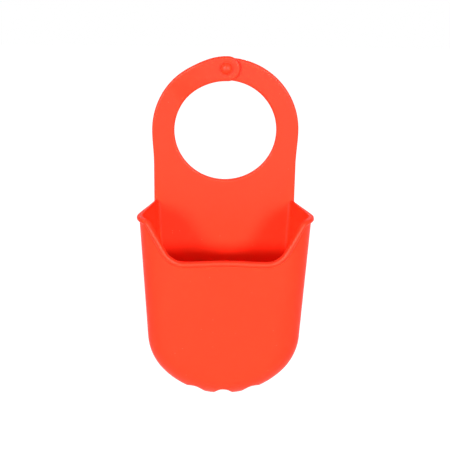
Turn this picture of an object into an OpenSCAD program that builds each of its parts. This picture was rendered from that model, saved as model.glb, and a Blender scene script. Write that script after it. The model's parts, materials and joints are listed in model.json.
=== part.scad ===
// Hanging sink caddy: a soft silicone pocket for a sponge, on a flat panel that ends in a
// ring. The ring is two strap arms that lap at the top, where a stud on the right arm
// snaps through a buttonhole in the left one, so that it opens round a tap.
// Millimetres. The origin is the ring's centre, midway through the panel's thickness.
// +Z is up, +X is right, and the pocket stands out from the panel towards -Y.

/* [Ring] */
// Radius of the hole that goes round the tap
ring_bore_r = 32; // [29:0.5:35]
// Width of the strap that makes the ring
strap_w = 14; // [12:0.5:16]
// Thickness of the strap and of the panel
panel_t = 2.6; // [2.2:0.1:3]
// Round on the front edges of the strap and panel
front_edge_r = 0.9; // [0.5:0.1:1.1]
// Round on the back edges of the strap and panel
back_edge_r = 0.4; // [0.2:0.1:0.5]
// Air between the two laps of the closed ring
lap_gap = 0.15; // [0.1:0.05:0.3]
// Air between two stretches of strap, where it bends
bend_gap = 0.3; // [0.2:0.05:0.5]

/* [Snap] */
// How much wider the left arm's tongue is than the strap, on the outside of the ring
tongue_extra_w = 0.6; // [0:0.1:1.2]
// How far the tongue's round tip is centred beyond the stud
tongue_reach = 0.9; // [0:0.1:1.5]
// How far the right arm runs on past the stud, under the left one
underlap = 12; // [9:0.5:14]
// Radius of the stud's neck
stud_neck_r = 2.4; // [2:0.1:2.6]
// Radius of the stud's head
stud_head_r = 3.6; // [3.3:0.1:3.8]
// Height of the stud's domed head
stud_head_h = 2.3; // [1.8:0.1:3]
// Radius of the soft lip that stretches over the head
lip_r = 4.4; // [4.2:0.1:4.7]
// Air between the neck and the lip
lip_gap = 0.1; // [0.05:0.05:0.2]
// How far the lip lies below the front of the tongue
lip_recess = 0.4; // [0.2:0.1:0.6]

/* [Pocket] */
// Half of the panel's width
panel_half_w = 45; // [42:0.5:46]
// Half of the pocket's width at its mouth
mouth_half_w = 52.8; // [50:0.1:56]
// Height of the side walls' top edge
mouth_z = -45.5; // [-50:0.5:-42]
// Height of the front wall's top edge
front_rim_z = -70.7; // [-74:0.1:-64]
// Height of the lowest point
bottom_z = -169.6; // [-180:0.1:-164]
// Depth of the pocket at its mouth, from the panel's face to the front
pocket_depth = 44.8; // [38:0.5:50]
// Thickness of the pocket's walls
wall_t = 2; // [1.6:0.1:2.4]
// Round between the front wall and the side walls and floor
front_round_r = 15; // [10:0.5:16]
// Round at the bottom corners, seen from the front
corner_r = 38; // [32:0.5:40]
// Height of the bottom corners' centres above the lowest point
corner_rise = 43; // [41:0.5:46]
// Slope of the side walls towards each other, in degrees
side_draft = 3; // [1:0.1:5]
// How much shallower the pocket is at its lowest point, as a share
depth_taper = 0.15; // [0:0.01:0.25]
// How far the floor rises from front to back
floor_rise = 3; // [0:0.5:6]
// Round between the panel and the walls, inside
cove_r = 2; // [1:0.5:3]

/* [Mouth] */
// How far in from the pocket's side the rim starts to fall
rim_start = 2.8; // [2:0.1:5]
// Slope of the rim up to the side walls, in degrees
rim_slope = 60; // [50:1:64]
// Round at the foot of that slope
rim_foot_r = 13; // [6:0.5:15]
// Round at the top of that slope
rim_top_r = 5; // [4:0.5:6]
// Height of the bead round the mouth
bead_h = 2.8; // [2:0.1:3.4]
// How far the bead stands out from the walls
bead_proud = 1.5; // [0.8:0.1:2.2]
// Length over which the bead dies away towards the panel
bead_fade = 30; // [6:1:34]

/* [Drain holes] */
// Number of holes in a row
drain_count = 3; // [1:2:3]
// Radius of each hole
drain_r = 6.2; // [4:0.1:7]
// Distance between the holes
drain_pitch = 17.8; // [16:0.1:22]
// How far the row lies behind the middle of the front round
drain_back = -5; // [-6:0.1:4]
// How much farther back the outer drain holes are than the middle one
drain_bow = 1.3; // [0:0.1:2]

/* [Hidden] */

silicone = "#ff5038";       // one moulding, one colour
over = 1;                   // how far cutting shapes run past what they cut
arc_step = 9;               // degrees between points of a round
face_y = panel_t / 2;       // half of the thickness: front face at -face_y

// Ring and strap
ring_r = ring_bore_r + strap_w;
strap_mid_r = ring_bore_r + strap_w / 2;
half_gap_deg = bend_gap / 2 / strap_mid_r * 180 / PI;
lap_y = -(panel_t + lap_gap);   // how far the tongue lies in front of the ring's plane
bend_1 = 180;                   // where the left arm leaves the panel
bend_2 = 150;
bend_3 = 120;
stud_deg = 90;                  // the stud is at the top of the ring
underlap_deg = stud_deg + (underlap - strap_w / 2) / strap_mid_r * 180 / PI;
joggle_from = bend_2 - 2;       // the left arm steps forward between these angles
joggle_to = underlap_deg + (strap_w / 2 + over) / strap_mid_r * 180 / PI;
tongue_widen_deg = 29;          // and widens over this much before the stud
tongue_tip_r = (strap_w + tongue_extra_w) / 2;
tongue_tip_at = [tongue_reach, strap_mid_r + tongue_extra_w / 2];

// Pocket
slope = tan(side_draft);
corner_z = bottom_z + corner_rise;
corner_x = mouth_half_w - slope * (mouth_z - corner_z) - corner_r / cos(side_draft);
belly_r = (pow(corner_x, 2) + pow(corner_rise, 2) - pow(corner_r, 2))
    / (2 * (corner_rise - corner_r));
belly_z = bottom_z + belly_r;
corner_deg = atan2(corner_z - belly_z, corner_x);
closed_z = mouth_z + 9;         // where the walls' full shape is closed, above the mouth
ring_ease_h = 22;               // height over which the ring flows into the panel

// ---- General helpers ----

function ease(t) = let (c = max(0, min(1, t))) c * c * (3 - 2 * c);
function mix(a, b, t) = a + (b - a) * t;
function reversed(list) = [for (k = [len(list) - 1:-1:0]) list[k]];
function mirrored(points) = [for (p = reversed(points)) [-p.x, p.y]];
function steps(from, to, step) =
    let (n = max(1, ceil(abs(to - from) / step))) [for (k = [0:n]) mix(from, to, k / n)];
function unit(v) = v / norm(v);

// A closed solid through loops of points. Each loop runs clockwise seen from the last loop's
// end, and is symmetrical, so its end faces are strips between opposite points.
module skin(loops) {
    n = len(loops[0]);
    last = len(loops) - 1;
    sides = [
        for (k = [0:last - 1], j = [0:n - 1])
            let (a = k * n + j, b = k * n + (j + 1) % n)
            each [[a, a + n, b + n], [a, b + n, b]]
    ];
    strips = [
        for (j = [0:floor(n / 2) - 1])
            let (a = j, b = j + 1, c = n - 2 - j, d = n - 1 - j)
            each (b < c ? [[a, b, d], [b, c, d]] : b == c && a != d ? [[a, b, d]] : [])
    ];
    far = last * n;
    ends = [for (f = strips) [f[2] + far, f[1] + far, f[0] + far]];
    polyhedron([for (loop = loops) each loop], concat(sides, strips, ends), convexity = 8);
}

// The strap's edge from front to back, as [how far in from the outline, y]
edge_profile = concat(
    [for (a = steps(90, 0, 18)) front_edge_r * [1 - cos(a), 0] + [0, -face_y + front_edge_r * (1 - sin(a))]],
    [for (a = steps(0, 90, 30)) back_edge_r * [1 - cos(a), 0] + [0, face_y - back_edge_r * (1 - sin(a))]]
);

// ---- Ring and straps ----

// Cuts the ring's bore, with the same rounds on its edges as the strap has
module bore_cut() {
    wall = [for (e = edge_profile) [ring_bore_r + e.x, e.y]];
    rotate([90, 0, 0]) mirror([0, 0, 1])
        rotate_extrude($fn = 180)
            polygon(concat(
                [[0, -face_y - over], [wall[0].x, -face_y - over]],
                wall,
                [[wall[len(wall) - 1].x, face_y + over], [0, face_y + over]]
            ));
}

// Turns an outline of [radius, y] about the Y axis, from one angle above +X to another
module revolved_about_y(from, to) {
    rotate([90, 0, 0]) mirror([0, 0, 1]) mirror([0, 1, 0]) rotate([0, 0, -to])
        rotate_extrude(angle = to - from, $fn = 180) children();
}

// A stretch of flat strap on the ring between two angles
module flat_strap(from, to) {
    outer = [for (e = edge_profile) [ring_r - e.x, e.y]];
    inner = [for (k = [len(edge_profile) - 1:-1:0])
        let (e = edge_profile[k]) [ring_bore_r + e.x, e.y]];
    revolved_about_y(from, to) polygon(concat(outer, inner));
}

// One section of a strap across the ring at an angle, which reaches out_w outwards and in_w
// inwards from the strap's middle, with edges as in edge_profile
function strap_section(out_w, in_w, a, y) = concat(
    [for (e = edge_profile) let (p = polar(strap_mid_r + out_w - e.x, a)) [p.x, y + e.y, p.y]],
    [for (k = [len(edge_profile) - 1:-1:0])
        let (e = edge_profile[k], p = polar(strap_mid_r - in_w + e.x, a)) [p.x, y + e.y, p.y]]
);

// One section of a round tip, as a ray at angle a from straight across the strap
function tip_section(tip_r, centre, out, along, y, a) =
    let (rim = concat(edge_profile, [for (k = [len(edge_profile) - 1:-1:0]) edge_profile[k]]))
    [for (k = [0:len(rim) - 1])
        let (side = k < len(edge_profile) ? 1 : -1, r = tip_r - rim[k].x,
            p = centre + r * (side * cos(a) * out + sin(a) * along))
        [p.x, y + rim[k].y, p.y]];

function polar(r, a) = r * [cos(a), sin(a)];
function joggle(a) = lap_y * ease((joggle_from - a) / (joggle_from - joggle_to));
function tongue_out_w(a) =
    strap_w / 2 + tongue_extra_w * (1 - ease((a - stud_deg) / tongue_widen_deg));

// ---- Pocket ----

// Outline seen from the front, from the top of the right wall down and round to the left
function pocket_outline(inset, top_z) =
    let (
        mouth_x = mouth_half_w - inset / cos(side_draft),
        half = concat(
            [[mouth_x + slope * (top_z - mouth_z), top_z], [mouth_x, mouth_z]],
            [for (a = steps(-side_draft, corner_deg, arc_step))
                [corner_x, corner_z] + polar(corner_r - inset, a)],
            [for (a = steps(corner_deg, -90, arc_step / 2)) if (a < corner_deg)
                [0, belly_z] + polar(belly_r - inset, a)]
        )
    )
    concat([for (k = [0:len(half) - 2]) half[k]], mirrored(half));

// Angle at which the front round meets the side wall, which leans out from the panel
lean = [panel_half_w - mouth_half_w + front_round_r, front_round_r - pocket_depth];
round_start = atan2(lean.y, lean.x) + acos(front_round_r / norm(lean));

// Depth and inset of the surface at an angle of the front round
function round_depth(wall, a) = pocket_depth - front_round_r + (front_round_r - wall) * sin(a);
function round_inset(wall, a) = wall + (front_round_r - wall) * (1 - cos(a));

// Share by which the walls close in at a depth: the panel is narrower than the mouth
function flare(wall, depth) =
    let (at_panel = (panel_half_w - wall / cos(round_start)) / (mouth_half_w - round_inset(wall, round_start)))
    mix(at_panel, 1, max(0, min(1, depth / round_depth(wall, round_start))));
function rise(wall, depth) =
    let (missing = 1 - max(0, min(1, depth / round_depth(wall, round_start))))
    1 - floor_rise / (mouth_z - bottom_z) * missing;
function depth_share(z) = 1 - depth_taper * (mouth_z - z) / (mouth_z - bottom_z);

// A loop of the pocket's surface at a depth in front of the panel's face
function pocket_loop(wall, depth, inset) = [
    for (p = pocket_outline(inset, closed_z + wall * 2))
        let (z = mouth_z + (p.y - mouth_z) * rise(wall, depth))
        [p.x * flare(wall, depth), -face_y - depth * depth_share(z), z]
];

function round_loops(wall) = [
    for (a = steps(round_start, 90, arc_step * 1.5))
        pocket_loop(wall, round_depth(wall, a), round_inset(wall, a))
];

module pocket_outside() {
    skin(reversed(concat([pocket_loop(0, 0, round_inset(0, round_start))], round_loops(0))));
}

module pocket_inside() {
    start = round_inset(wall_t, round_start);
    cove = [for (a = steps(90, 0, 22.5))
        pocket_loop(wall_t, cove_r * (1 - sin(a)), start + cove_r * (1 - cos(a)))];
    behind = [for (p = cove[0]) p + [0, over, 0]];
    skin(reversed(concat([behind], cove, round_loops(wall_t))));
}

// ---- Mouth ----

top_x = mouth_half_w - rim_start;
slope_run = (mouth_z - front_rim_z) / tan(rim_slope);
slope_x = top_x - rim_top_r * tan(rim_slope / 2) - slope_run;
foot_x = slope_x - rim_foot_r * tan(rim_slope / 2);

// The rim seen from the front, from the middle to the right, lowered by drop
function rim_half(drop) = concat(
    [[0, front_rim_z - drop]],
    [for (a = steps(-90, rim_slope - 90, arc_step))
        [foot_x, front_rim_z + rim_foot_r] + polar(rim_foot_r + drop, a)],
    [for (a = steps(90 + rim_slope, 90, arc_step))
        [top_x, mouth_z - rim_top_r] + polar(rim_top_r - drop, a)],
    [[ring_r * 2, mouth_z - drop]]
);

// Height of the rim at a distance from the middle
function rim_z(x) =
    x <= foot_x ? front_rim_z
    : x <= foot_x + rim_foot_r * sin(rim_slope)
        ? front_rim_z + rim_foot_r - sqrt(pow(rim_foot_r, 2) - pow(x - foot_x, 2))
    : x < top_x - rim_top_r * sin(rim_slope)
        ? front_rim_z + (x - slope_x) * tan(rim_slope)
    : x < top_x ? mouth_z - rim_top_r + sqrt(pow(rim_top_r, 2) - pow(x - top_x, 2))
    : mouth_z;

// Everything above the rim, lowered by drop: level over the side walls, then round the front
module above_rim(drop) {
    half = rim_half(drop);
    side_y = -face_y - round_depth(0, round_start);
    translate([0, side_y, 0]) rotate([90, 0, 0])
        linear_extrude(height = pocket_depth)
            polygon(concat(mirrored([for (k = [1:len(half) - 1]) half[k]]), half,
                [[ring_r * 2, ring_r], [-ring_r * 2, ring_r]]));
    translate([-ring_r * 2, side_y - over / 10, mouth_z - drop])
        cube([ring_r * 4, over * 2 - side_y, ring_r]);
}

// Where the outer surface lies at the rim, as [point, outward direction], right side
function rim_side(depth) = [
    [(mouth_half_w - round_inset(0, round_start)) * flare(0, depth), -face_y - depth, mouth_z],
    [cos(round_start), -sin(round_start), 0]
];
function rim_front(x) =
    let (
        z = rim_z(x),
        inset = mouth_half_w - slope * (mouth_z - z) - x,
        a = acos(max(0, min(1, 1 - inset / front_round_r))),
        depth = inset < front_round_r ? round_depth(0, a) : pocket_depth
    )
    [[x, -face_y - depth * depth_share(z), z], [cos(a), -sin(a), 0]];

rim_right = concat(
    [[rim_side(0)[0] + [over * tan(round_start), over, 0], rim_side(0)[1]]],
    [for (d = steps(0, round_depth(0, round_start), 8)) rim_side(d)],
    [for (a = steps(0, 90, arc_step)) rim_front(mouth_half_w - round_inset(0, a))],
    [for (x = steps(mouth_half_w - front_round_r - 1, 0, 3)) rim_front(x)]
);
rim_path = concat(rim_right, [for (k = [len(rim_right) - 2:-1:0])
    [for (v = rim_right[k]) [-v.x, v.y, v.z]]]);

// The bead's section as [outward, up] from the outer surface at the rim: a round nose that
// stands out from the wall and comes back to it, and a root as thick as the wall
bead_r = min(bead_h / 2, wall_t * 0.7);
root_r = (wall_t - bead_r) * 0.8;
nose_points = 8;
function bead_section(proud) =
    let (last = -acos(max(0, min(1, 1 - proud / bead_r))))
    concat(
        [[-wall_t, -bead_h - over / 2], [-wall_t, -root_r]],
        [for (a = steps(150, 90, 60)) [-wall_t + root_r, -root_r] + polar(root_r, a)],
        [for (k = [0:nose_points])
            [proud - bead_r, -bead_r] + polar(bead_r, mix(90, last, k / nose_points))],
        [[0, -bead_h - over / 2]]
    );

function bead_loop(k) =
    let (
        p = rim_path[k][0],
        ahead = unit(rim_path[min(k + 1, len(rim_path) - 1)][0] - rim_path[max(k - 1, 0)][0]),
        up = unit(cross(ahead, rim_path[k][1])),
        out = cross(up, ahead),
        proud = bead_proud * ease((-face_y - p.y) / bead_fade)
    )
    [for (s = bead_section(proud)) p + s.x * out + s.y * up];

// ---- Sub-parts ----

// The side of the panel: the ring's width at the top eases to the pocket's back edge
function panel_half() =
    let (start = round_inset(0, round_start))
    concat(
        [for (z = steps(-bend_gap / 2, mouth_z, 3)) if (z > mouth_z)
            [mix(panel_half_w, ring_r, (1 + cos(180 * min(1, -z / ring_ease_h))) / 2), z]],
        [for (p = pocket_loop(0, 0, start)) if (p.x >= -0.001 && p.z < mouth_z + 0.001) [p.x, p.z]]
    );

module back_panel() {
    half = panel_half();
    side = concat([for (k = [0:len(half) - 2]) half[k]], mirrored(half));
    last = len(side) - 1;
    normals = [for (k = [0:last])
        k == 0 ? [1, 0] : k == last ? [-1, 0]
        : let (t = unit(side[k + 1] - side[k - 1])) [-t.y, t.x]];
    loops = [for (e = edge_profile) [for (k = [0:last])
        let (keep = e.y > 0 ? 1 : ease((side[k].y - mouth_z) / 4),
            p = side[k] - normals[k] * e.x * keep) [p.x, e.y, p.y]]];
    color(silicone) difference() {
        skin(loops);
        bore_cut();
    }
}

module drain_row() {
    middle = -face_y - (pocket_depth - front_round_r) * depth_share(bottom_z) + drain_back;
    for (k = [0:drain_count - 1]) {
        place = k - (drain_count - 1) / 2;
        translate([place * drain_pitch, middle + drain_bow * abs(place), bottom_z - over])
            cylinder(r = drain_r, h = corner_r, $fn = 48);
    }
}

module pocket_shell() {
    color(silicone) difference() {
        pocket_outside();
        pocket_inside();
        above_rim(bead_h);
        drain_row();
    }
}

module mouth_bead() {
    color(silicone) intersection() {
        skin(reversed([for (k = [0:len(rim_path) - 1]) bead_loop(k)]));
        above_rim(bead_h);
        translate([-ring_r * 2, -face_y - pocket_depth * 2, mouth_z * 2])
            cube([ring_r * 4, pocket_depth * 2, ring_r * 4]);
    }
}

module left_strap_root() {
    color(silicone) flat_strap(bend_2 + half_gap_deg, bend_1 - half_gap_deg);
}

module left_strap_middle() {
    angles = steps(bend_2 - half_gap_deg, bend_3 + half_gap_deg, 3);
    color(silicone)
        skin([for (a = angles) strap_section(strap_w / 2, strap_w / 2, a, joggle(a))]);
}

module left_strap_tongue() {
    color(silicone) difference() {
        skin(concat(
            [for (a = steps(bend_3 - half_gap_deg, stud_deg, 3))
                strap_section(tongue_out_w(a), strap_w / 2, a, joggle(a))],
            [for (a = steps(0, 85, 8))
                tip_section(tongue_tip_r, tongue_tip_at, [0, 1], [1, 0], lap_y, a)]
        ));
        translate([0, lap_y, strap_mid_r]) rotate([90, 0, 0])
            cylinder(r = lip_r, h = panel_t * 2, center = true, $fn = 64);
    }
}

module buttonhole_lip() {
    hole_r = stud_neck_r + lip_gap;
    soft_r = 0.5;
    half_t = (panel_t - lip_recess) / 2;
    corners = [[hole_r + soft_r, -half_t + soft_r, 180], [hole_r + soft_r, half_t - soft_r, 90]];
    translate([0, lap_y + lip_recess / 2, strap_mid_r]) rotate([90, 0, 0])
        color(silicone) rotate_extrude($fn = 64)
            polygon(concat(
                [for (c = corners, a = steps(c[2] + 90, c[2], 30)) [c.x, c.y] + polar(soft_r, a)],
                [[lip_r, half_t], [lip_r, -half_t]]
            ));
}

module right_strap_root() {
    color(silicone) flat_strap(half_gap_deg, 180 - bend_2 - half_gap_deg);
}

module right_strap_middle() {
    color(silicone) flat_strap(180 - bend_2 + half_gap_deg, 180 - bend_3 - half_gap_deg);
}

module right_strap_end() {
    color(silicone) rotate([0, -underlap_deg, 0]) {
        flat_strap(180 - bend_3 + half_gap_deg - underlap_deg, 0);
        translate([strap_mid_r, 0, 0]) revolved_about_y(0, 180) polygon(concat(
            [[0, -face_y]],
            [for (e = edge_profile) [strap_w / 2 - e.x, e.y]],
            [[0, face_y]]
        ));
    }
}

// A mushroom: a neck that stands on the right arm and a domed head in front of the lip
module snap_stud() {
    neck_h = panel_t + lap_gap * 2 - lip_recess;
    brim = 0.7;
    dome_r = (pow(stud_head_r, 2) + pow(stud_head_h - brim, 2)) / (2 * (stud_head_h - brim));
    dome_deg = asin(stud_head_r / dome_r);
    top = neck_h + stud_head_h;
    translate([0, -face_y, strap_mid_r]) rotate([90, 0, 0])
        color(silicone) rotate_extrude($fn = 64)
            polygon(concat(
                [[0, 0], [stud_neck_r, 0], [stud_neck_r, neck_h]],
                [for (a = steps(-90, 0, 30)) [stud_head_r - brim, neck_h + brim] + polar(brim, a)],
                [for (a = steps(dome_deg, 0, 12)) if (a < dome_deg)
                    [dome_r * sin(a), top - dome_r * (1 - cos(a))]]
            ));
}

back_panel();
pocket_shell();
mouth_bead();
left_strap_root();
left_strap_middle();
left_strap_tongue();
buttonhole_lip();
right_strap_root();
right_strap_middle();
right_strap_end();
snap_stud();
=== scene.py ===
import json
from math import acos, atan2, cos, degrees, hypot, radians, sin, sqrt, tan

import bmesh
import bpy
from mathutils import Matrix, Vector


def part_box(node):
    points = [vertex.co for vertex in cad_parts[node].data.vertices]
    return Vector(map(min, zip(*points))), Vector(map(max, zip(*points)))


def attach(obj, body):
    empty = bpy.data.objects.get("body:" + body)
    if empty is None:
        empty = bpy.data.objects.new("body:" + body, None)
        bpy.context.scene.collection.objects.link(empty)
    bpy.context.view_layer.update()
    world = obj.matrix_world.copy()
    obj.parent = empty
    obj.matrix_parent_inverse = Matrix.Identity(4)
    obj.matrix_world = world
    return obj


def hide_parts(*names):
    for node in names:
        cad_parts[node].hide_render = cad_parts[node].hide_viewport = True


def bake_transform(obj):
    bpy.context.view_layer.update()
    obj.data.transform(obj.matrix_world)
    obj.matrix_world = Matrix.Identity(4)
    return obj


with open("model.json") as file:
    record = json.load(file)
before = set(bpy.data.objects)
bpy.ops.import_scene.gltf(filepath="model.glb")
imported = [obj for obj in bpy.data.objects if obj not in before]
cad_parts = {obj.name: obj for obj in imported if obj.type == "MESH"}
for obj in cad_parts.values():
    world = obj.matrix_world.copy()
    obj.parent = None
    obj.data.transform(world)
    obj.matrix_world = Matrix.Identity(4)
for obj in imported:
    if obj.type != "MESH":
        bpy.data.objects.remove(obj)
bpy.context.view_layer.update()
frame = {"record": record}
print("sink caddy: frame loaded")


def boxMm(node):  # a CAD node's corners, in millimetres
    return [corner * 1000 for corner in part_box(node)]


ringMount = next(m for m in frame["record"]["mounts"] if m["name"] == "faucet_ring")
ring = {
    "bore": ringMount["dims"]["r_mm"],
    "outer": boxMm("right_strap_root")[1].x,
    "half": boxMm("back_panel")[1].y,  # half of the thickness
    "seamZ": -8.2,   # where the arms are cut from the panel, out of the bend's reach
    "seamTurn": 15,  # degrees from a bend to the next cut
}
ring["mid"] = (ring["bore"] + ring["outer"]) / 2
mouthZ = boxMm("mouth_bead")[1].z


# small helpers

def mix(a, b, t):
    return a + (b - a) * t


def ease(t):
    t = min(1, max(0, t))
    return t * t * (3 - 2 * t)


def spread(start, stop, count):
    return [mix(start, stop, k / count) for k in range(count + 1)]


def polar(radius, angle):
    return radius * cos(radians(angle)), radius * sin(radians(angle))


def arc(radius, start, stop, count):
    return [polar(radius, a) for a in spread(start, stop, count)]


def roundOff(across, deep, start, stop, count):  # (inset, depth) round an edge, from 0 at its side
    return [(across - x * across, deep - y * deep) for x, y in arc(1, start, stop, count)]


def markSharp(piece, angle=38):
    bm = bmesh.new()
    bm.from_mesh(piece.data)
    for face in bm.faces:
        face.smooth = True
    for edge in bm.edges:
        edge.smooth = len(edge.link_faces) == 2 and edge.calc_face_angle(0) < radians(angle)
    bm.to_mesh(piece.data)
    bm.free()


def makePiece(name, points, faces):  # points in millimetres
    mesh = bpy.data.meshes.new(name)
    mesh.from_pydata([Vector(p) / 1000 for p in points], [], faces)
    piece = bpy.data.objects.new(name, mesh)
    bpy.context.scene.collection.objects.link(piece)
    bm = bmesh.new()
    bm.from_mesh(mesh)
    bmesh.ops.remove_doubles(bm, verts=bm.verts, dist=2e-6)
    bmesh.ops.recalc_face_normals(bm, faces=bm.faces)
    bm.to_mesh(mesh)
    bm.free()
    markSharp(piece)
    return piece


def cutWith(piece, cutters):  # takes the cutters out of the piece, for good
    for cutter in cutters:
        hole = piece.modifiers.new("cut", "BOOLEAN")
        hole.object, hole.operation, hole.solver = cutter, "DIFFERENCE", "EXACT"
    graph = bpy.context.evaluated_depsgraph_get()
    cut = bpy.data.meshes.new_from_object(piece.evaluated_get(graph))
    piece.modifiers.clear()
    piece.data = cut
    for cutter in cutters:
        bpy.data.objects.remove(cutter)
    markSharp(piece)


def sweep(name, loops, caps=(True, True)):  # closed loops of equal length, joined side by side
    count, last = len(loops[0]), len(loops) - 1
    faces = []
    for k in range(last):
        a, b = k * count, (k + 1) * count
        faces += [(a + j, b + j, b + (j + 1) % count, a + (j + 1) % count) for j in range(count)]
    for at, closed in zip((0, last), caps):
        if closed:
            faces.append(tuple(range(at * count, (at + 1) * count)))
    return makePiece(name, [p for loop in loops for p in loop], faces)


def revolve(name, profile, centre, turns=96):  # (radius, y) pairs round a line along Y
    points, faces, size = [], [], len(profile)
    for k in range(turns):
        c, s = polar(1, 360 * k / turns)
        points += [(centre[0] + r * c, y, centre[1] + r * s) for r, y in profile]
        a, b = k * size, (k + 1) % turns * size
        faces += [(a + j, a + j + 1, b + j + 1, b + j) for j in range(size - 1)]
    return makePiece(name, points, faces)


# camera

view = {
    "target": (0.00065, 0.0, -0.063),
    "distance": 0.650,
    "height": 19.6,  # degrees above level
    "side": -1.7,    # degrees to the right
    "roll": 0.86,
    "lens": 80,
    "sensor": 36,
}


def placeCamera(view):
    up, turn, roll = (radians(view[k]) for k in ("height", "side", "roll"))
    ahead = Vector((-sin(turn) * cos(up), cos(turn) * cos(up), -sin(up)))
    level = Vector((cos(turn), sin(turn), 0))
    top = level.cross(ahead)
    right = level * cos(roll) + top * sin(roll)
    above = top * cos(roll) - level * sin(roll)
    place = Vector(view["target"]) - ahead * view["distance"]
    data = bpy.data.cameras.new("camera")
    data.lens, data.sensor_width, data.dof.use_dof = view["lens"], view["sensor"], False
    camera = bpy.data.objects.new("camera", data)
    bpy.context.scene.collection.objects.link(camera)
    axes = Matrix((right, above, -ahead)).transposed().to_4x4()
    camera.matrix_world = Matrix.Translation(place) @ axes
    bpy.context.scene.camera = camera


placeCamera(view)
print("sink caddy: camera placed")


# silicone: one moulding, one material

def addNode(tree, kind, inputs=(), **settings):
    node = tree.nodes.new(kind)
    for name, value in settings.items():
        setattr(node, name, value)
    for socket, value in dict(inputs).items():
        if isinstance(value, bpy.types.NodeSocket):
            tree.links.new(value, node.inputs[socket])
        else:
            node.inputs[socket].default_value = value
    return node


def newGroup(name, inputs, outputs):
    group = bpy.data.node_groups.new(name, "ShaderNodeTree")
    for label, kind, value in inputs:
        group.interface.new_socket(label, in_out="INPUT", socket_type=kind).default_value = value
    for label, kind in outputs:
        group.interface.new_socket(label, in_out="OUTPUT", socket_type=kind)
    given, out = group.nodes.new("NodeGroupInput"), group.nodes.new("NodeGroupOutput")
    return group, given.outputs, out.inputs


skinDetail = {
    "flow": (1.0, 1.0, 0.35),   # the clouds are drawn out upwards
    "cloudFrom": 0.35,
    "cloudTo": 0.7,
    "grainRough": 0.6,
    "grainDull": 0.08,          # how far the grain changes the roughness
    "speckSize": 420.0,
    "speckCore": 0.05,
    "speckEdge": 0.13,
    "speckShare": 0.93,         # share of the specks that stay hidden
}


def buildSiliconeSkin(detail):  # soft clouding of the colour, fine moulded grain and a little dust
    colour, value = "NodeSocketColor", "NodeSocketFloat"
    group, given, out = newGroup(
        "siliconeSkin",
        [("Colour", colour, (1, 0.1, 0.05, 1)), ("Deep Colour", colour, (0.9, 0.05, 0.02, 1)),
         ("Dust Colour", colour, (1, 0.6, 0.5, 1)), ("Clouding", value, 0.2),
         ("Cloud Size", value, 40.0), ("Grain Size", value, 2500.0),
         ("Dust", value, 0.1), ("Roughness", value, 0.5)],
        [("Colour", colour), ("Roughness", value), ("Height", value)],
    )
    place = addNode(group, "ShaderNodeTexCoord").outputs["Object"]
    flow = addNode(group, "ShaderNodeMapping", {"Vector": place, "Scale": detail["flow"]})
    clouds = addNode(group, "ShaderNodeTexNoise",
                     {"Vector": flow.outputs[0], "Scale": given["Cloud Size"], "Detail": 3.0})
    grain = addNode(group, "ShaderNodeTexNoise",
                    {"Vector": place, "Scale": given["Grain Size"], "Detail": 2.0,
                     "Roughness": detail["grainRough"]})
    specks = addNode(group, "ShaderNodeTexVoronoi",
                     {"Vector": place, "Scale": detail["speckSize"], "Randomness": 1.0})
    speck = addNode(group, "ShaderNodeMapRange",
                    {"Value": specks.outputs["Distance"], "From Min": detail["speckCore"],
                     "From Max": detail["speckEdge"], "To Min": 1.0, "To Max": 0.0})
    rare = addNode(group, "ShaderNodeSeparateColor", {"Color": specks.outputs["Color"]})
    chosen = addNode(group, "ShaderNodeMath",
                     {0: rare.outputs["Red"], 1: detail["speckShare"]}, operation="GREATER_THAN")
    dust = addNode(group, "ShaderNodeMath",
                   {0: speck.outputs[0], 1: chosen.outputs[0]}, operation="MULTIPLY")
    dusty = addNode(group, "ShaderNodeMath",
                    {0: dust.outputs[0], 1: given["Dust"]}, operation="MULTIPLY")
    cloud = addNode(group, "ShaderNodeMapRange",
                    {"Value": clouds.outputs["Fac"], "From Min": detail["cloudFrom"],
                     "From Max": detail["cloudTo"]})
    deep = addNode(group, "ShaderNodeMath",
                   {0: cloud.outputs[0], 1: given["Clouding"]}, operation="MULTIPLY")
    body = addNode(group, "ShaderNodeMix",
                   {0: deep.outputs[0], 6: given["Colour"], 7: given["Deep Colour"]},
                   data_type="RGBA")
    toned = addNode(group, "ShaderNodeMix",
                    {0: dusty.outputs[0], 6: body.outputs[2], 7: given["Dust Colour"]},
                    data_type="RGBA")
    dull = addNode(group, "ShaderNodeMath",
                   {0: grain.outputs["Fac"], 1: detail["grainDull"], 2: -detail["grainDull"] / 2},
                   operation="MULTIPLY_ADD")
    rough = addNode(group, "ShaderNodeMath",
                    {0: given["Roughness"], 1: dull.outputs[0]}, operation="ADD")
    group.links.new(toned.outputs[2], out["Colour"])
    group.links.new(rough.outputs[0], out["Roughness"])
    group.links.new(grain.outputs["Fac"], out["Height"])
    return group


siliconeLook = {
    "Colour": (0.98, 0.032, 0.008, 1),
    "Deep Colour": (0.97, 0.029, 0.007, 1),
    "Dust Colour": (1.0, 0.42, 0.32, 1),
    "Clouding": 0.3,
    "Cloud Size": 34.0,
    "Grain Size": 3200.0,
    "Dust": 0.25,
    "Roughness": 0.42,
}
siliconeBody = {
    "IOR": 1.41,
    "Specular IOR Level": 0.28,
    "Subsurface Weight": 0.12,
    "Subsurface Radius": (1.0, 0.1, 0.04),
    "Subsurface Scale": 0.0012,
}
grainBump = {"Strength": 0.12, "Distance": 0.00006}


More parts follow.
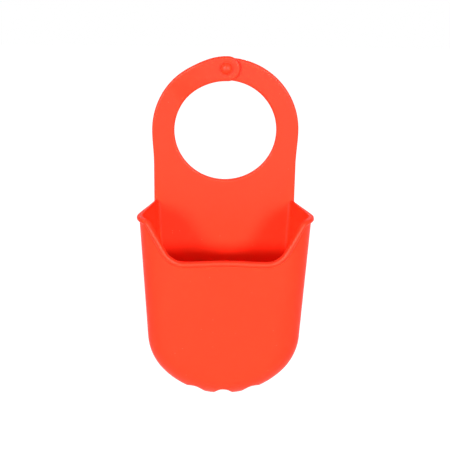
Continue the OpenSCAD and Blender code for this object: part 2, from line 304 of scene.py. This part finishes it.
def buildSilicone(look, body, bumpLook):
    material = bpy.data.materials.new("redSilicone")
    material.use_nodes = True
    tree = material.node_tree
    shader = tree.nodes["Principled BSDF"]
    skin = addNode(tree, "ShaderNodeGroup", node_tree=buildSiliconeSkin(skinDetail))
    for name, value in look.items():
        skin.inputs[name].default_value = value
    bump = addNode(tree, "ShaderNodeBump", {**bumpLook, "Height": skin.outputs["Height"]})
    tree.links.new(skin.outputs["Colour"], shader.inputs["Base Color"])
    tree.links.new(skin.outputs["Roughness"], shader.inputs["Roughness"])
    tree.links.new(bump.outputs[0], shader.inputs["Normal"])
    for name, value in body.items():
        shader.inputs[name].default_value = value
    return material


silicone = buildSilicone(siliconeLook, siliconeBody, grainBump)


def dress(piece, *nodes):  # the silicone, and the CAD nodes that the piece stands for
    piece.data.materials.clear()
    piece.data.materials.append(silicone)
    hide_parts(*nodes)


print("sink caddy: silicone mixed")


# rounded edges of the flat silicone

edges = {
    "across": 1.1,  # round on the front edge, across the face
    "deep": 1.0,    # and into the thickness
    "back": 0.4,    # round on the back edge
    "steps": 7,
    "backSteps": 3,
    "frontRows": (4.0, 2.4),  # rows of points that keep the faces flat
    "backRows": (1.2, 2.8),
}


def edgeProfile(lift=0.0, keep=1.0):  # (inset, y) from the front face round to the back face
    half, back = ring["half"], edges["back"] * keep
    across, deep = edges["across"] * keep, edges["deep"] * keep
    profile = [(row, lift - half) for row in edges["frontRows"]]
    profile += [(i, lift - half + d) for i, d in roundOff(across, deep, 90, 0, edges["steps"])]
    profile += [(i, lift + half - d) for i, d in roundOff(back, back, 0, 90, edges["backSteps"])]
    return profile + [(row, lift + half) for row in edges["backRows"]]


def strapLoop(outer, outWay, inner, inWay, lift=0.0):  # one cut across a strap
    profile = edgeProfile(lift)
    return [(outer[0] - outWay[0] * i, y, outer[1] - outWay[1] * i) for i, y in profile] + [
        (inner[0] + inWay[0] * i, y, inner[1] + inWay[1] * i) for i, y in reversed(profile)]


# pocket, as the part's own curves

pocket = {
    "panelHalf": 45.0,    # half of the panel's width at the mouth
    "mouthHalf": 53.0,
    "tall": 124.1,        # mouth to lowest point
    "depth": 44.8,
    "wall": 2.0,
    "frontRound": 15.0,   # round from the front to the sides and floor, front to back
    "roundWide": 21.0,    # and across
    "cornerRound": 38.0,
    "cornerRise": 43.0,
    "draft": 3.0,
    "taper": 0.15,
    "floorRise": 3.0,
    "cove": 2.0,
    "bury": (0.4, 0.2),   # the cove's foot goes this far on and into the panel
    "rimDrop": 25.2,      # mouth to the front's rim
    "rimStart": 2.8,
    "rimSlope": 60,
    "rimFoot": 13.0,
    "rimTop": 5.0,
    "rimSag": 0.85,       # how far the front's rim drops at both ends of its level part
    "beadHeight": 2.8,
    "beadProud": 1.5,
    "beadFade": 30.0,     # distance from the panel at which the bead is whole
    "ringEase": 22.0,     # height over which the ring flows into the panel
}
slope = tan(radians(pocket["draft"]))
lean = cos(radians(pocket["draft"]))
bottomZ = mouthZ - pocket["tall"]
cornerZ = bottomZ + pocket["cornerRise"]
cornerX = pocket["mouthHalf"] - slope * (mouthZ - cornerZ) - pocket["cornerRound"] / lean
bellyR = (cornerX ** 2 + pocket["cornerRise"] ** 2 - pocket["cornerRound"] ** 2) / (
    2 * (pocket["cornerRise"] - pocket["cornerRound"]))
bellyZ = bottomZ + bellyR
cornerTurn = degrees(atan2(cornerZ - bellyZ, cornerX))
frontRound = pocket["frontRound"]
roundWide = pocket["roundWide"]
leanX = (pocket["panelHalf"] - pocket["mouthHalf"] + roundWide) * frontRound / roundWide
leanY = frontRound - pocket["depth"]
roundStart = degrees(atan2(leanY, leanX) + acos(frontRound / hypot(leanX, leanY)))
sideTurn = atan2(sin(radians(roundStart)) / frontRound,  # the side wall's lean
                 cos(radians(roundStart)) / roundWide)


def roundDepth(wall, a):
    return pocket["depth"] - frontRound + (frontRound - wall) * sin(radians(a))


def roundInset(wall, a):
    return wall + (roundWide - wall) * (1 - cos(radians(a)))


def depthPart(wall, depth):
    return min(1, max(0, depth / roundDepth(wall, roundStart)))


def flare(wall, depth):
    atPanel = (pocket["panelHalf"] - wall / cos(sideTurn)) / (
        pocket["mouthHalf"] - roundInset(wall, roundStart))
    return mix(atPanel, 1, depthPart(wall, depth))


def rise(wall, depth):
    return 1 - pocket["floorRise"] / pocket["tall"] * (1 - depthPart(wall, depth))


def frontShare(z):
    return 1 - pocket["taper"] * (mouthZ - z) / pocket["tall"]


# rim of the pocket: level, down a slope and level again

topX = pocket["mouthHalf"] - pocket["rimStart"]
rimTan = tan(radians(pocket["rimSlope"]))
rimHalfTan = tan(radians(pocket["rimSlope"] / 2))
slopeX = topX - pocket["rimTop"] * rimHalfTan - pocket["rimDrop"] / rimTan
footX = slopeX - pocket["rimFoot"] * rimHalfTan
frontRimZ = mouthZ - pocket["rimDrop"]


def rimHeight(x, drop=0.0):
    foot, top = pocket["rimFoot"] + drop, pocket["rimTop"] - drop
    part = sin(radians(pocket["rimSlope"]))
    x = abs(x)
    share = ease(x / footX) if x < footX else 1 - ease((x - footX) / (topX - footX))
    sag = pocket["rimSag"] * share
    if x <= footX:
        return frontRimZ - drop - sag
    if x <= footX + foot * part:
        return frontRimZ + pocket["rimFoot"] - sqrt(foot ** 2 - (x - footX) ** 2) - sag
    if x < topX - top * part:
        return frontRimZ + (x - slopeX) * rimTan - drop / cos(radians(pocket["rimSlope"])) - sag
    if x < topX:
        return mouthZ - pocket["rimTop"] + sqrt(top ** 2 - (x - topX) ** 2) - sag
    return mouthZ - drop


# pocket shell

rows = [("wall", t) for t in spread(0, 1, 26)]
rows += [("corner", t) for t in spread(0, 1, 30)[1:]] + [("belly", t) for t in spread(0, 1, 16)[1:]]
beadRound = pocket["beadHeight"] / 2
rimUnder = beadRound  # the shell's own edge is hidden inside the bead


def outlinePoint(row, inset, top):  # seen from the front, before the walls flare
    part, t = row
    inset *= mix(1, frontRound / roundWide, {"wall": 0, "corner": ease(t), "belly": 1}[part])
    turn = cornerTurn if part == "belly" else mix(-pocket["draft"], cornerTurn, t)
    if part == "wall":
        foot = cornerZ - (pocket["cornerRound"] - inset) * sin(radians(pocket["draft"]))
        z = mix(top, foot, t)
        return pocket["mouthHalf"] - inset / lean + slope * (z - mouthZ), z
    if part == "corner":
        x, z = polar(pocket["cornerRound"] - inset, turn)
        return cornerX + x, cornerZ + z
    x, z = polar(bellyR - inset, mix(cornerTurn, -90, t))
    return x, bellyZ + z


def shellPoint(column, row, top):
    wall, depth, inset, across, y = column
    x, z = outlinePoint(row, inset, top)
    z = mouthZ + (z - mouthZ) * rise(wall, depth)
    x = x * flare(wall, depth) * (1 - across)
    return x, (-ring["half"] - depth * frontShare(z) if y is None else y), z


def columnTop(column):  # height at which a column of the shell ends under the bead
    wall, depth, inset, across, y = column
    top = mouthZ - rimUnder
    slack = 0.01
    atFront = depth >= roundDepth(wall, roundStart) - slack
    for _ in range(12):  # the width changes with the height, so this settles step by step
        x = shellPoint(column, ("wall", 0), top)[0]
        wanted = rimHeight(x, rimUnder) if atFront else mouthZ - rimUnder
        top = mouthZ + (wanted - mouthZ) / rise(wall, depth)
    return top


def shellColumns(wall):  # (wall, depth, inset, across, y) from the back to the middle of the front
    start, half = roundInset(wall, roundStart), ring["half"]
    sideDepth = roundDepth(wall, roundStart)
    if wall == 0:
        backEdge = roundOff(edges["back"], edges["back"], 90, 0, edges["backSteps"])
        columns = [(0, 0, start + i, 0, half - d) for i, d in backEdge]
        columns += [(0, d, start, 0, None) for d in spread(0, sideDepth, 6)[:-1]]
    else:
        cove, (on, into) = pocket["cove"], pocket["bury"]
        columns = [(wall, 0, start + cove + on, 0, into - half)]
        columns += [(wall, d, start + i, 0, None) for i, d in roundOff(cove, cove, 90, 0, 5)]
        columns += [(wall, d, start, 0, None) for d in spread(cove, sideDepth, 4)[1:-1]]
    columns += [(wall, roundDepth(wall, a), roundInset(wall, a), 0, None)
                for a in spread(roundStart, 90, 16)]
    front = roundDepth(wall, 90), roundInset(wall, 90)
    return columns + [(wall, *front, across, None) for across in spread(0, 1, 22)[1:]]


def buildPocket():
    outside, inside = shellColumns(0), shellColumns(pocket["wall"])
    points, faces, size = [], [], len(rows)
    for side in (1, -1):
        base = len(points)
        grid = outside + inside[::-1]
        starts = [base + j * size for j in range(len(grid))]  # number of each column's first point
        for column in grid:
            top = columnTop(column)
            for row in rows:
                x, y, z = shellPoint(column, row, top)
                points.append((side * x, y, z))
        for j, (a, b) in enumerate(zip(starts, starts[1:])):
            if j != len(outside) - 1:  # outside and inside meet only under the bead and at the back
                faces += [(a + k, b + k, b + k + 1, a + k + 1) for k in range(size - 1)]
        a, b = starts[0], starts[-1]
        faces += [(a + k, a + k + 1, b + k + 1, b + k) for k in range(size - 1)]  # behind the panel
        for j in range(len(outside) - 1):  # under the bead
            faces.append((starts[j], starts[j + 1], starts[-j - 2], starts[-j - 1]))
    return makePiece("pocket", points, faces)


drains = {
    "count": 3,
    "radius": 6.2,
    "pitch": 17.8,
    "back": -5.0,  # from the start of the front's round
    "bow": 1.3,    # how much farther back the outer ones lie
    "below": 2.0,  # the cutters start this far under the floor
}


def drainCutters(drains):
    middle = -ring["half"] - (pocket["depth"] - frontRound) * frontShare(bottomZ) + drains["back"]
    cutters = []
    for k in range(drains["count"]):
        place = k - (drains["count"] - 1) / 2
        x, y = place * drains["pitch"], middle + drains["bow"] * abs(place)
        circle = arc(drains["radius"], 0, 360, 72)[:-1]
        loops = [[(x + c, y + s, z) for c, s in circle]
                 for z in (bottomZ - drains["below"], bottomZ + pocket["cornerRound"])]
        cutters.append(sweep("drainCutter", loops))
    return cutters


pocketShell = buildPocket()
cutWith(pocketShell, drainCutters(drains))
dress(pocketShell, "pocket_shell")
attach(pocketShell, "moulding")
print("sink caddy: pocket made")


# bead round the mouth

bead = {
    "face": 1.9,           # top to the end of the upright face
    "slope": 1.7,          # height of the slope below it
    "tuck": 0.1,           # how far the slope's foot dips into the wall
    "inner": 0.54,         # round on the inside
    "skirt": (0.04, 0.7),  # the inside's lower end, out and down into the wall
    "foot": 0.9,           # the outside's lower end, in from the wall's face
    "ends": (1.1, 0.6),    # how far both ends go into the panel
    "endTuck": 0.12,       # and how much they narrow there
}


def rimPath():  # (point, outward way) from the panel's right side round to the left
    half, path = ring["half"], []
    outward = Vector((cos(sideTurn), -sin(sideTurn), 0))

    def sidePoint(depth):
        x = (pocket["mouthHalf"] - roundInset(0, roundStart)) * flare(0, depth)
        return Vector((x, -half - depth, mouthZ))

    def frontPoint(x, back=False):  # back is where the round still widens
        z = rimHeight(x)
        inset = pocket["mouthHalf"] - slope * (mouthZ - z) - x
        turn = acos(max(0, min(1, 1 - inset / roundWide))) * (-1 if back else 1)
        depth = roundDepth(0, degrees(turn)) if inset < roundWide else pocket["depth"]
        outwards = Vector((cos(turn) / roundWide, -sin(turn) / frontRound, 0)).normalized()
        return Vector((x, -half - depth * frontShare(z), z)), outwards

    start = sidePoint(0)
    path += [(start + Vector((tan(sideTurn) * d, d, 0)), outward) for d in bead["ends"]]
    path += [(sidePoint(d), outward) for d in spread(0, roundDepth(0, roundStart), 9)[:-1]]
    path += [frontPoint(pocket["mouthHalf"] - roundInset(0, a), a < 0)
             for a in spread(roundStart, 90, 26)]
    levelX = footX - 2  # well inside the level part of the front
    path += [frontPoint(x) for x in spread(pocket["mouthHalf"] - roundWide, levelX, 14)[1:]]
    path += [frontPoint(x) for x in spread(levelX, 0, 8)[1:]]
    flip = Vector((-1, 1, 1))
    return path + [(p * flip, way * flip) for p, way in path[-2::-1]]


def beadLoop(path, k):
    point, outward = path[k]
    ahead = (path[min(k + 1, len(path) - 1)][0] - path[max(k - 1, 0)][0]).normalized()
    up = ahead.cross(outward).normalized()
    out = up.cross(ahead)
    if up.z < 0:
        up = -up
    if out.dot(outward) < 0:
        out = -out
    reach = -ring["half"] - point.y
    proud = pocket["beadProud"] * ease(reach / pocket["beadFade"]) - bead["endTuck"] * ease(-reach)
    r, wall, inner = beadRound, pocket["wall"], bead["inner"]
    (on, down), face, tuck = bead["skirt"], bead["face"], bead["tuck"]
    foot = -face - bead["slope"] * proud / pocket["beadProud"]
    section = [(on - wall, -r - down), (-wall, -r)]
    section += [(inner - wall + x, z - inner) for x, z in arc(inner, 180, 90, 4)]
    section += [(proud - r + x, z - r) for x, z in arc(r, 90, 0, 8)]
    section += [(mix(proud, -tuck, t ** 1.5), mix(-face, foot, t)) for t in spread(0, 1, 8)]
    section += [(-bead["foot"], foot - tuck)]
    return [point + out * x + up * z for x, z in section]


beadPath = rimPath()
mouthBead = sweep("mouthBead", [beadLoop(beadPath, k) for k in range(len(beadPath))])
dress(mouthBead, "mouth_bead")
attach(mouthBead, "moulding")
print("sink caddy: bead made")


# panel with the lower half of the ring

def sideHalf(z):  # half of the panel's width above the mouth
    turn = 180 * min(1, max(0, -z) / pocket["ringEase"])
    return mix(pocket["panelHalf"], ring["outer"], (1 + cos(radians(turn))) / 2)


def sideWay(z):  # outward way of that edge
    step = 0.05
    way = Vector((2 * step, 0, sideHalf(z - step) - sideHalf(z + step))).normalized()
    return way.x, way.z


def boreSection(z):  # inner end of a cut across the ring at a height below its middle
    turn = -degrees(atan2(-z, sqrt(ring["bore"] ** 2 - z ** 2)))
    return polar(ring["bore"], turn), polar(1, turn)


panelEdge = {
    "above": 1.0,             # last plain cut above the mouth
    "fade": (0.0, 0.7, 1.3),  # below the mouth, where the edge's round runs out
    "under": 2.2,             # from there down the edge follows the pocket's back
    "least": 0.02,            # what is left of the round there
    "pinch": 0.3,             # and how much closer its points lie
}


def buildPanel():
    backColumn = shellColumns(0)[0]
    top = columnTop(backColumn)
    below = [shellPoint(backColumn, row, top) for row in rows]
    chain = [((sideHalf(z), z), sideWay(z), 1.0)  # (point, outward way, share of the round kept)
             for z in spread(ring["seamZ"], mouthZ + panelEdge["above"], 26)]
    chain += [((pocket["panelHalf"], mouthZ - d), (1, 0), 1 - ease(d)) for d in panelEdge["fade"]]
    chain += [((below[0][0], mouthZ - panelEdge["under"]), (1, 0), 0.0)]
    chain += [((x, z), None, 0.0) for x, y, z in below[1:-1]]
    lowest = (below[-1][0], below[-1][2])
    right = []
    for k, (point, way, keep) in enumerate(chain):
        if way is None:
            before = chain[k - 1][0]
            after = chain[k + 1][0] if k + 1 < len(chain) else lowest
            along = Vector((after[0] - before[0], after[1] - before[1])).normalized()
            way = (-along.y, along.x)
        right.append((point, way, keep))
    left = [((-p[0], p[1]), (-w[0], w[1]), keep) for p, w, keep in reversed(right)]
    outer = right + [(lowest, (0, -1), 0.0)] + left
    start = degrees(atan2(ring["seamZ"], sqrt(ring["bore"] ** 2 - ring["seamZ"] ** 2)))
    bore = [(polar(ring["bore"], a), tuple(-v for v in polar(1, a)), 1.0)
            for a in spread(-180 - start, start, 96)]
    chainAll = outer + bore
    points, count = [], len(edgeProfile())
    for (x, z), way, keep in chainAll:
        for inset, y in edgeProfile(0, max(keep, panelEdge["least"])):
            inset *= panelEdge["pinch"] if keep == 0 and inset < 1 else 1
            points.append((x - way[0] * inset, y, z - way[1] * inset))
    faces, total = [], len(chainAll)
    for k in range(total):
        after = (k + 1) % total
        if k in (len(outer) - 1, total - 1):
            continue  # open where the arms go on
        faces += [(k * count + j, k * count + j + 1, after * count + j + 1, after * count + j)
                  for j in range(count - 1)]
    faces.append(tuple(k * count for k in range(total)))
    faces.append(tuple(k * count + count - 1 for k in range(total)))
    return makePiece("panel", points, faces)


panel = buildPanel()
dress(panel, "back_panel")
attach(panel, "moulding")
print("sink caddy: panel made")


# strap arms, each swept as three pieces: root, middle and end

lapping = {
    "lift": boxMm("left_strap_tongue")[0].y + ring["half"],  # how far forward the tongue lies
    "liftFrom": 148.0,  # degrees round the ring from its right side
    "liftTo": 109.1,
    "wider": 1.3,       # the tongue, outwards
    "widenTurn": 29.0,  # degrees over which it widens
    "reach": 0.9,       # the tongue, past the middle before its round end
    "underlap": 12.0,   # the right arm, past the middle
    "bendReach": 8.2,   # how far a bend spreads each way along the arm
    "bendTurn": 30,     # from one bend to the next
}
arms = {
    "left": {"side": -1, "bodies": ["moulding", "left_root", "left_middle", "left_tongue"]},
    "right": {"side": 1, "bodies": ["moulding", "right_root", "right_middle", "right_end"]},
}


def lapLift(angle):
    start, stop = lapping["liftFrom"], lapping["liftTo"]
    return lapping["lift"] * ease((start - angle) / (start - stop))


def armCut(angle, side, wide=0.0, lift=0.0):  # angle from this arm's own side, up to the top
    x, z = polar(1, angle)
    x *= side
    outer, inner = ring["outer"] + wide, ring["bore"]
    return strapLoop((x * outer, z * outer), (x, z), (x * inner, z * inner), (x, z), lift)


def armFoot(side):  # the cuts below the ring's middle, where the panel's edge eases in
    loops = []
    for z in spread(ring["seamZ"], 0, 8)[:-1]:
        outer, outWay = (sideHalf(z), z), sideWay(z)
        inner, inWay = boreSection(z)
        loops.append(strapLoop(*((side * a, b) for a, b in (outer, outWay, inner, inWay))))
    return loops


def bendPoints(side, hinge):  # start and end of a bend's spread, along the arm
    middle, along = polar(ring["mid"], hinge), polar(lapping["bendReach"], hinge + 90)
    return [Vector((side * (middle[0] + s * along[0]), 0, middle[1] + s * along[1])) / 1000
            for s in (-1, 1)]


def tipLoops(centre, radius, outWay, along, lift, count=20):  # round end, as rays from its centre
    profile = edgeProfile(lift)
    loops = []
    for a in spread(0, 90, count):
        c, s = polar(1, a)
        loop = []
        for turn, part in ((1, profile), (-1, profile[::-1])):
            for inset, y in part:
                r = radius - inset
                loop.append((centre[0] + r * (turn * c * outWay[0] + s * along[0]), y,
                             centre[1] + r * (turn * c * outWay[1] + s * along[1])))
        loops.append(loop)
    return loops


def buildArm(name, arm):
    side, bodies, cut, step = arm["side"], arm["bodies"], ring["seamTurn"], lapping["bendTurn"]
    isLeft = side < 0

    def loopAt(angle):
        if not isLeft:
            return armCut(angle, side)
        fromRight = 180 - angle
        wide = lapping["wider"] * (1 - ease((fromRight - 90) / lapping["widenTurn"]))
        return armCut(angle, side, wide, lapLift(fromRight))

    root = armFoot(side) + [loopAt(a) for a in spread(0, cut, 12)]
    middle = [loopAt(a) for a in spread(cut, cut + step, 24)]
    if isLeft:
        end = [loopAt(a) for a in spread(cut + step, 90, 36)]
        radius = (ring["outer"] - ring["bore"] + lapping["wider"]) / 2
        centre = (lapping["reach"], ring["bore"] + radius)
        end += tipLoops(centre, radius, (0, 1), (1, 0), lapping["lift"])
    else:
        half = (ring["outer"] - ring["bore"]) / 2
        turn = 90 + degrees((lapping["underlap"] - half) / ring["mid"])
        end = [loopAt(a) for a in spread(cut + step, turn, 40)]
        centre, out = polar(ring["mid"], turn), polar(1, turn)
        end += tipLoops(centre, half, out, polar(1, turn + 90), 0)[1:]
    pieces = []
    for k, (label, loops) in enumerate((("Root", root), ("Middle", middle), ("End", end))):
        piece = sweep(name + "Arm" + label, loops, (label == "End", False))
        pieces.append((piece, bodies[k], bodies[k + 1], bendPoints(side, step * k)))
    return pieces


leftArm, rightArm = buildArm("left", arms["left"]), buildArm("right", arms["right"])

snap = {
    "top": boxMm("snap_stud")[0].y,
    "head": (boxMm("snap_stud")[1].x - boxMm("snap_stud")[0].x) / 2,
    "neck": 2.4,
    "root": 0.3,       # the neck's start, inside the right arm
    "brim": 0.7,
    "headHeight": 2.3,
    "seatRadius": 4.4,
    "seatDeep": 0.4,
    "hole": 2.5,
    "soft": 0.25,      # round on the seat's edge
    "above": 0.3,      # from the middle of the tongue
    "cut": (1.0, 4.0),  # the cutters' ends, ahead of the tongue's front and behind it
}
snapAt = (0.0, ring["mid"] + lapping["wider"] / 2 + snap["above"])


def seatCutters(snap):  # the shallow seat round the stud's head, and the buttonhole
    front = lapping["lift"] - ring["half"]
    seat, soft = snap["seatRadius"], snap["soft"]
    ahead, behind = front - snap["cut"][0], front + snap["cut"][1]
    profile = [(0.0, ahead), (seat + soft, ahead), (seat + soft, front)]
    profile += [(seat + d, front + i) for i, d in roundOff(soft, soft, 0, 90, 4)[1:]]
    profile += [(seat, front + snap["seatDeep"]), (0.0, front + snap["seatDeep"])]
    hole = [(0.0, ahead), (snap["hole"], ahead), (snap["hole"], behind), (0.0, behind)]
    return [revolve("seatCutter", profile, snapAt), revolve("holeCutter", hole, snapAt)]


tongue = leftArm[2][0]
cutWith(tongue, seatCutters(snap))

armNodes = {
    "leftArmRoot": ["left_strap_root"], "leftArmMiddle": ["left_strap_middle"],
    "leftArmEnd": ["left_strap_tongue", "buttonhole_lip"],
    "rightArmRoot": ["right_strap_root"], "rightArmMiddle": ["right_strap_middle"],
    "rightArmEnd": ["right_strap_end"],
}
for piece, before, after, (start, end) in leftArm + rightArm:
    dress(piece, *armNodes[piece.name])
    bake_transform(piece)
print("sink caddy: arms made")


def buildStud(snap):  # a domed head with a soft brim on a neck
    foot, top, brim, head = snap["root"] - ring["half"], snap["top"], snap["brim"], snap["head"]
    under = top + snap["headHeight"]
    crown = snap["headHeight"] - brim
    dome = (head ** 2 + crown ** 2) / (2 * crown)
    domeTurn = degrees(atan2(head, dome - crown))
    profile = [(0.0, foot), (snap["neck"], foot), (snap["neck"], under)]
    profile += [(head - brim + x, under - brim - z) for x, z in arc(brim, -90, 0, 8)]
    profile += [(dome * sin(radians(a)), top + dome * (1 - cos(radians(a))))
                for a in spread(domeTurn, 0, 14)[1:]]
    return revolve("snapStud", profile, snapAt)


stud = buildStud(snap)
dress(stud, "snap_stud")
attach(stud, "right_end")
print("sink caddy: snap made")


# floor, light and background

stage = {
    "floorZ": -0.62,
    "floorSize": 8,
    "floorColour": (0.85, 0.85, 0.85, 1),
    "floorRough": 0.9,
    "floorGlow": (1.2, 0.85),  # strength and share, beside the floor's own shade
    "air": (0.0, 0.65),        # soft light from level and from straight above
    "aim": (0, 0, -0.1),
    "lampAway": 2.2,
    "lampSpread": 32,
    "lamps": {  # degrees to the side, degrees up, width, height, watts, leaves a highlight
        "leftLamp": (-28, 9, 0.56, 0.5, 1.97, True),
        "rightLamp": (23, 9, 0.56, 0.5, 1.92, True),
        "backLamp": (172, 14, 0.8, 0.8, 2.2, False),  # or it would streak the bead's top
    },
}


def seenWhite(tree):  # 1 where the camera, a reflection or clear matter looks straight at it
    path = addNode(tree, "ShaderNodeLightPath").outputs
    first = addNode(tree, "ShaderNodeMath",
                    {0: path["Is Camera Ray"], 1: path["Is Glossy Ray"]}, operation="MAXIMUM")
    return addNode(tree, "ShaderNodeMath", {0: first.outputs[0], 1: path["Is Transmission Ray"]},
                   operation="MAXIMUM").outputs[0]


def buildFloor(stage):
    bpy.ops.mesh.primitive_plane_add(size=stage["floorSize"], location=(0, 0, stage["floorZ"]))
    floor = bpy.context.object
    floor.name = "floor"
    material = bpy.data.materials.new("paleFloor")
    material.use_nodes = True
    tree = material.node_tree
    shader, out = tree.nodes["Principled BSDF"], tree.nodes["Material Output"]
    shader.inputs["Base Color"].default_value = stage["floorColour"]
    shader.inputs["Roughness"].default_value = stage["floorRough"]
    strength, share = stage["floorGlow"]
    glow = addNode(tree, "ShaderNodeEmission", {"Strength": strength})
    part = addNode(tree, "ShaderNodeMath", {0: seenWhite(tree), 1: share}, operation="MULTIPLY")
    both = addNode(tree, "ShaderNodeMixShader",
                   {0: part.outputs[0], 1: shader.outputs[0], 2: glow.outputs[0]})
    tree.links.new(both.outputs[0], out.inputs["Surface"])
    floor.data.materials.append(material)


def buildAir(stage):
    world = bpy.data.worlds.new("air")
    bpy.context.scene.world = world
    world.use_nodes = True
    tree = world.node_tree
    sky = addNode(tree, "ShaderNodeTexCoord").outputs["Generated"]
    way = addNode(tree, "ShaderNodeSeparateXYZ", {0: sky})
    under, over = stage["air"]
    air = addNode(tree, "ShaderNodeMapRange",
                  {"Value": way.outputs["Z"], "From Min": 0.0, "To Min": under, "To Max": over})
    strength = addNode(tree, "ShaderNodeMix", {0: seenWhite(tree), 2: air.outputs[0], 3: 1.0})
    tree.links.new(strength.outputs[0], tree.nodes["Background"].inputs["Strength"])
    tree.nodes["Background"].inputs["Color"].default_value = (1, 1, 1, 1)


def hangLamps(stage):
    aim = Vector(stage["aim"])
    for name, (side, up, wide, tall, watts, shines) in stage["lamps"].items():
        side, up = radians(side), radians(up)
        way = Vector((sin(side) * cos(up), -cos(side) * cos(up), sin(up)))
        place = aim + stage["lampAway"] * way
        data = bpy.data.lights.new(name, "AREA")
        data.shape, data.size, data.size_y, data.energy = "RECTANGLE", wide, tall, watts
        data.spread = radians(stage["lampSpread"])
        lamp = bpy.data.objects.new(name, data)
        bpy.context.scene.collection.objects.link(lamp)
        lamp.location = place
        lamp.visible_glossy = shines
        lamp.rotation_euler = (aim - place).to_track_quat("-Z", "Y").to_euler()


buildFloor(stage)
buildAir(stage)
hangLamps(stage)
bpy.context.scene.view_settings.view_transform = "Standard"
print("sink caddy: stage lit")
